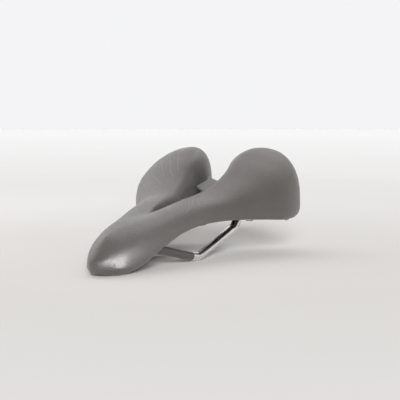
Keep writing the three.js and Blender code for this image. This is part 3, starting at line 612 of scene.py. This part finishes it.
# rows exactly at the end of the band, so that the band has a crisp edge
cut = int(np.searchsorted(side_path[:, 1], BAND_END))
u = (BAND_END - side_path[cut - 1, 1]) / (side_path[cut, 1] - side_path[cut - 1, 1])
side_path = np.insert(side_path, cut, side_path[cut - 1] * (1 - u) + side_path[cut] * u, 0)
mirror_path = side_path[1:][::-1] * np.array([-1, 1, 1])
rail_path = np.concatenate([mirror_path, side_path])
SIDES = 32
pts, faces = tube(rail_path, RAIL_R, SIDES, level=True)
rail = add_mesh("rail_rod", pts, faces, CHROME_MAT, sharp=60)
rail.data.materials.append(BAND_MAT)
rail.data.materials.append(SOCKET_MAT)
mid_y = (rail_path[:-1, 1] + rail_path[1:, 1]) / 2
for poly in rail.data.polygons:
    ringno = poly.index // SIDES
    if ringno < len(mid_y) and mid_y[ringno] < BAND_END:
        poly.material_index = 1
    outward = poly.normal.x if poly.center.x > 0 else -poly.normal.x
    if ringno < len(mid_y) and mid_y[ringno] > SLEEVE_START and outward < 0.3:
        poly.material_index = 2
piece(rail, "rail_chrome", "rail")


# ---------------------------------------------------------------- moulded blocks: rounded versions of the CAD solids
def baked(ob):
    dg = bpy.context.evaluated_depsgraph_get()
    me = bpy.data.meshes.new_from_object(ob.evaluated_get(dg))
    ob.modifiers.clear()
    old = ob.data
    ob.data = me
    bpy.data.meshes.remove(old)
    return ob


def moulded(name, node, slot, material, voxel, rounds, keep):
    """The CAD solid with its edges rounded by a fine remesh and relaxation, then thinned out."""
    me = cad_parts[node].data.copy()
    me.materials.clear()
    me.materials.append(material)
    ob = bpy.data.objects.new(name, me)
    bpy.context.scene.collection.objects.link(ob)
    m = ob.modifiers.new("remesh", "REMESH")
    m.mode, m.voxel_size, m.use_smooth_shade = "VOXEL", voxel * MM, True
    m = ob.modifiers.new("relax", "SMOOTH")
    m.factor, m.iterations = 0.5, rounds
    m = ob.modifiers.new("thin", "DECIMATE")
    m.ratio = keep
    baked(ob)
    ob.data.polygons.foreach_set("use_smooth", [True] * len(ob.data.polygons))
    ob.data.materials.clear()
    ob.data.materials.append(material)
    ob.data.update()
    return piece(ob, slot, node)


moulded("rail_socket_left_body", "rail_socket_left", "socket_plastic", SOCKET_MAT, 0.5, 5, 0.35)
moulded("rail_socket_right_body", "rail_socket_right", "socket_plastic", SOCKET_MAT, 0.5, 5, 0.35)
moulded("nose_socket_body", "nose_socket", "socket_plastic", SOCKET_MAT, 0.5, 4, 0.35)
moulded("nose_clamp_body", "nose_clamp", "socket_plastic", SOCKET_MAT, 0.4, 4, 0.35)
moulded("bridge_body", "rear_bridge", "bridge_plastic", BRIDGE_MAT, 0.35, 3, 0.4)


# ---------------------------------------------------------------- screws with a hexagonal recess, and hem staples
def screw(node):
    lo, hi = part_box(node)
    c = (lo + hi) / 2
    r, z0, z1 = (hi.x - lo.x) / 2 / MM, lo.z / MM, hi.z / MM
    seat, n = z0 + 2.4, 48
    a = np.arange(n) / n * 2 * np.pi
    hexagon = math.cos(math.pi / 6) / np.cos((a + math.pi / 6) % (math.pi / 3) - math.pi / 6)
    one = np.ones(n)
    rings = [
        (0.02 * one, z0 + 1.7), (0.9 * one, z0 + 1.65), (1.45 * hexagon, z0 + 1.5), (1.5 * hexagon, z0 + 0.15), (1.62 * hexagon, z0 + 0.02),
        (2.0 * one, z0), (r * 0.74 * one, z0 + 0.08), (r * 0.92 * one, z0 + 0.4), (r * 0.99 * one, z0 + 0.95), (r * one, z0 + 1.5),
        (r * one, seat - 0.15), (r * 0.97 * one, seat), (1.95 * one, seat),
    ]
    z = seat + 0.3
    while z < z1 - 1.2:
        rings += [(1.86 * one, z), (1.6 * one, z + 0.35), (1.86 * one, z + 0.7)]
        z += 0.8
    rings += [(1.5 * one, z1 - 0.7), (0.3 * one, z1), (0.02 * one, z1)]
    pts = np.concatenate([np.stack([c.x / MM + q * np.cos(a), c.y / MM + MID + q * np.sin(a), np.full(n, zz)], 1) for q, zz in rings])
    faces = []
    for i in range(len(rings) - 1):
        for j in range(n):
            k = (j + 1) % n
            faces.append([i * n + j, (i + 1) * n + j, (i + 1) * n + k, i * n + k])
    ob = add_mesh(node + "_steel", pts, faces, SCREW_MAT, sharp=35)
    return piece(ob, "screw_steel", node)


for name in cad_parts:
    if "_screw_" in name:
        screw(name)

STAPLES = [4.8, 6.8, 8.7, 10.5, 12.4, 14.2, 18.2, 21.2, 22.7]
STAPLE_W, WIRE, STAPLE_H = 7.0, 0.8, 3.6


def staple(number, k, sign):
    b, p, q = spoke_at(k), spoke_at(k - 0.02), spoke_at(k + 0.02)
    t = np.array([q[0] - p[0], q[1] - p[1], q[2] - q[6] - p[2] + p[6]])
    n = np.array([-t[1], t[0], 0])
    n /= np.linalg.norm(n)
    t /= np.linalg.norm(t)
    w = b[5] + 2.1
    o = np.array([b[0] + n[0] * w, b[1] + n[1] * w, b[2] - b[6]])
    if sign < 0:
        t, n, o = t * [-1, 1, 1], n * [-1, 1, 1], o * [-1, 1, 1]
    up = np.cross(t, n)
    if up[2] < 0:
        up = -up
    bottom = -WIRE - 0.5 + WIRE / 2
    h, x, c = STAPLE_H - WIRE - 0.5, STAPLE_W / 2 - WIRE / 2, 0.7
    arc = [(x - c + c * math.sin(v), bottom + c - c * math.cos(v)) for v in np.linspace(0, math.pi / 2, 7)]
    half = arc + [(x, bottom + 1.6), (x, h)]
    line = [(-u, v) for u, v in half[::-1]] + half
    path = np.array([o + t * u + up * v for u, v in line])
    pts, faces = tube(path, WIRE / 2, 12)
    label = "left" if sign > 0 else "right"
    node = f"hem_staple_{label}_{number:02d}"
    ob = add_mesh(node + "_wire", pts, faces, STAPLE_MAT, sharp=50)
    return piece(ob, "staple_steel", node)


for sign in (1, -1):
    for i, k in enumerate(STAPLES):
        staple(i + 1, k, sign)


# ---------------------------------------------------------------- stage: floor, light and camera
def floor_material():
    n = Nodes("floor_pale")
    at = n.coord.outputs["Object"]
    length = n.tree.nodes.new("ShaderNodeVectorMath")
    length.operation = "LENGTH"
    n.link(at, length.inputs[0])
    # painted shading: the floor is darkest close round the saddle and grows lighter with distance until it fades into
    # the backdrop
    distance_shade = n.span(length.outputs["Value"], 0.0, 8.0, 0.0, 1.0)
    color = n.ramp(
        distance_shade,
        (0.0, (0.405, 0.396, 0.385)), (0.03, (0.398, 0.391, 0.382)), (0.08, (0.440, 0.435, 0.432)),
        (0.2, (0.500, 0.498, 0.500)), (0.45, (0.530, 0.530, 0.534)), (1.0, (0.555, 0.556, 0.562)),
    )
    mottled = n.mix(n.span(n.noise(9, 3, 0.5), 0.3, 0.7, 0.0, 0.04), color, (0.28, 0.275, 0.27))
    return n.finish(mottled, 0.72, 0.0, n.bump(n.noise(700, 2), 0.12, 0.0001), Specular_IOR_Level=0.0)


def disc(name, radius, rings, material):
    pts, faces = [[0, MID, 0]], []
    n = 96
    radii = radius * (np.arange(1, rings + 1) / rings) ** 2.5
    for r in radii:
        for j in range(n):
            a = j / n * 2 * math.pi
            pts.append([r * math.cos(a), MID + r * math.sin(a), 0])
    for j in range(n):
        faces.append([0, 1 + j, 1 + (j + 1) % n])
    for i in range(rings - 1):
        for j in range(n):
            k = (j + 1) % n
            faces.append([1 + i * n + j, 1 + (i + 1) * n + j, 1 + (i + 1) * n + k, 1 + i * n + k])
    return add_mesh(name, pts, faces, material)


floor = disc("floor", 14000, 14, floor_material())

world = bpy.data.worlds.new("studio")
bpy.context.scene.world = world
world.use_nodes = True
wt = world.node_tree
bg = wt.nodes["Background"]
bg.inputs["Strength"].default_value = 0.92
# a pale room: brightest beyond the tail, softer on the other sides
wc = wt.nodes.new("ShaderNodeTexCoord")
dot = wt.nodes.new("ShaderNodeVectorMath")
dot.operation = "DOT_PRODUCT"
dot.inputs[1].default_value = (-0.434, 0.9007, 0.0)
wt.links.new(wc.outputs["Generated"], dot.inputs[0])
ramp = wt.nodes.new("ShaderNodeValToRGB")
ramp.color_ramp.elements[0].position, ramp.color_ramp.elements[0].color = 0.1, (0.524, 0.506, 0.485, 1)
ramp.color_ramp.elements[1].position, ramp.color_ramp.elements[1].color = 0.85, (0.985, 0.985, 1.0, 1)
wt.links.new(dot.outputs["Value"], ramp.inputs[0])
wt.links.new(ramp.outputs[0], bg.inputs["Color"])


def area(name, at, aim, size, power, colour=(1, 1, 1)):
    data = bpy.data.lights.new(name, "AREA")
    data.shape = "RECTANGLE"
    data.size, data.size_y = size
    data.energy = power
    data.color = colour
    ob = bpy.data.objects.new(name, data)
    ob.location = at
    ob.rotation_mode = "QUATERNION"
    ob.rotation_quaternion = (Vector(aim) - Vector(at)).to_track_quat("-Z", "Y")
    bpy.context.scene.collection.objects.link(ob)
    return ob


def sun(name, towards, strength, angle, colour=(1, 1, 1)):
    data = bpy.data.lights.new(name, "SUN")
    data.energy, data.angle, data.color = strength, math.radians(angle), colour
    ob = bpy.data.objects.new(name, data)
    ob.rotation_mode = "QUATERNION"
    ob.rotation_quaternion = (-Vector(towards)).to_track_quat("-Z", "Y")
    bpy.context.scene.collection.objects.link(ob)
    return ob


def lights_only(light, objects):
    group = bpy.data.collections.new(light.name + "_lights")
    for o in objects:
        group.objects.link(o)
    light.light_linking.receiver_collection = group


def at_distance(direction, distance, centre=(0, 0.03, 0.05)):
    return tuple(Vector(direction).normalized() * distance + Vector(centre))


saddle = [o for o in bpy.context.scene.objects if o.type == "MESH" and o is not floor]
area("softbox_left", (-0.7, 0.1, 0.65), (0, 0, 0.05), (0.7, 0.7), 2.12, (1, 0.99, 0.98))
area("softbox_top", (0.0, 0.36, 0.78), (0, 0.08, 0.08), (0.6, 0.5), 0.39, (1, 0.99, 0.98))
lights_only(area("softbox_back", at_distance((-0.48, 0.66, 0.58), 1.2), (0, 0.03, 0.05), (1.0, 0.8), 0.20, (1, 0.99, 0.98)), saddle)
lights_only(area("softbox_tail", at_distance((0.1, 0.6, 0.8), 1.2), (0, 0.03, 0.05), (0.8, 0.8), 1.52, (1, 0.99, 0.98)), saddle)
# two small panels beside the nose that are only seen as a gleam in the skin
for name, at, size, power in (("gleam_side", (0.457, -0.137, 0.075), (0.08, 0.14), 0.12), ("gleam_front", (0.25, -0.50, 0.05), (0.10, 0.08), 0.02)):
    gleam = area(name, at, (0.012, -0.115, 0.03), size, power)
    gleam.data.spread = math.radians(22)
    gleam.visible_diffuse = False
    gleam.visible_camera = False
    lights_only(gleam, [o for o in saddle if o.name.startswith("cover_skin")])
rim = area("gleam_back", at_distance((-0.5, 0.79, 0.33), 1.0), (0, 0.05, 0.06), (0.25, 0.12), 0.08)
rim.visible_diffuse = False
rim.visible_camera = False
lights_only(rim, [o for o in saddle if o.name.startswith("cover_skin")])
lights_only(sun("floor_key", (-0.42, 0.5, 0.76), 1.0, 60), [floor])
lights_only(sun("floor_front", (0.45, -0.82, 0.26), 10.6, 20), [floor])

cam_data = bpy.data.cameras.new("camera")
cam_data.lens, cam_data.sensor_width = 104.05, 36
cam_data.clip_start, cam_data.clip_end = 0.05, 60
camera = bpy.data.objects.new("camera", cam_data)
camera.location = (0.42740, -0.83606, 0.11304)
camera.rotation_mode = "QUATERNION"
camera.rotation_quaternion = Vector((-0.43326, 0.89864, -0.06877)).to_track_quat("-Z", "Y")
bpy.context.scene.collection.objects.link(camera)
bpy.context.scene.camera = camera
bpy.context.scene.view_settings.view_transform = "Standard"
